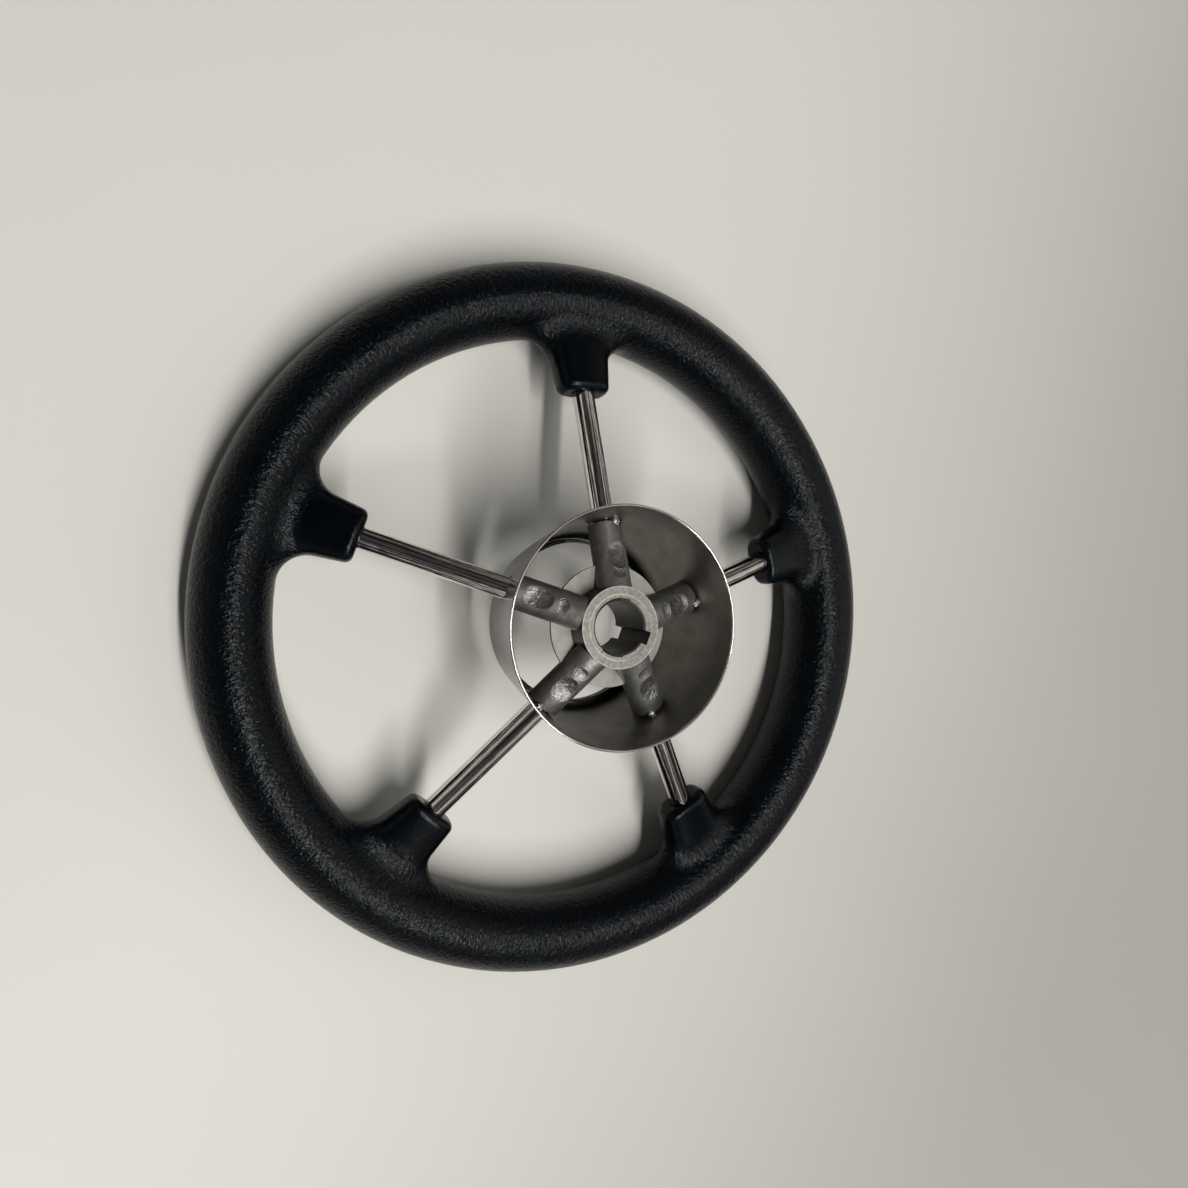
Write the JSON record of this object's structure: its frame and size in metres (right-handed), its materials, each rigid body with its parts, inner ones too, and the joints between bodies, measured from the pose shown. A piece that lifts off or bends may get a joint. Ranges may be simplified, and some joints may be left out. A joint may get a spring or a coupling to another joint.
{
  "type": "boat steering wheel",
  "caption": "Dished stainless boat steering wheel with a moulded foam grip, slanted rod spokes, a tapered keyed hub boss and a thin conical hub shell, lying face down.",
  "frame": {"origin": "centre of the face-down wheel, on the plane the grip rests on", "axes": "+Z along the helm shaft axis, from the wheel's front towards its back and the dash; +Y along spoke 1; the keyway is at -Y"},
  "size_m": [0.28, 0.28, 0.0809],
  "materials": {
    "foam_grip": "black self-skinned foam with a fine leather grain, smoother on the spoke sockets",
    "polished_stainless": "mirror polished",
    "spun_stainless": "polished outside and at the rims, dull inside",
    "turned_stainless": "fine turned lines",
    "drawn_stainless": "dull drawn tube",
    "weld_steel": "bright as-welded beads",
    "rod_steel": "plain drawn rod"
  },
  "bodies": {
    "root": {"grip": "foam_grip", "rim_core": "rod_steel", "hub_boss": "turned_stainless", "hub_shell": "spun_stainless", "spoke_1": "polished_stainless", "spoke_2": "polished_stainless", "spoke_3": "polished_stainless", "spoke_4": "polished_stainless", "spoke_5": "polished_stainless", "spoke_sleeve_1": "drawn_stainless", "spoke_sleeve_2": "drawn_stainless", "spoke_sleeve_3": "drawn_stainless", "spoke_sleeve_4": "drawn_stainless", "spoke_sleeve_5": "drawn_stainless", "rim_weld_1": "weld_steel", "rim_weld_2": "weld_steel", "rim_weld_3": "weld_steel", "rim_weld_4": "weld_steel", "rim_weld_5": "weld_steel", "boss_weld_1": "weld_steel", "boss_weld_2": "weld_steel", "boss_weld_3": "weld_steel", "boss_weld_4": "weld_steel", "boss_weld_5": "weld_steel", "shell_tack_1": "weld_steel", "shell_tack_2": "weld_steel", "shell_tack_3": "weld_steel", "shell_tack_4": "weld_steel", "shell_tack_5": "weld_steel"}
  },
  "joints": []
}
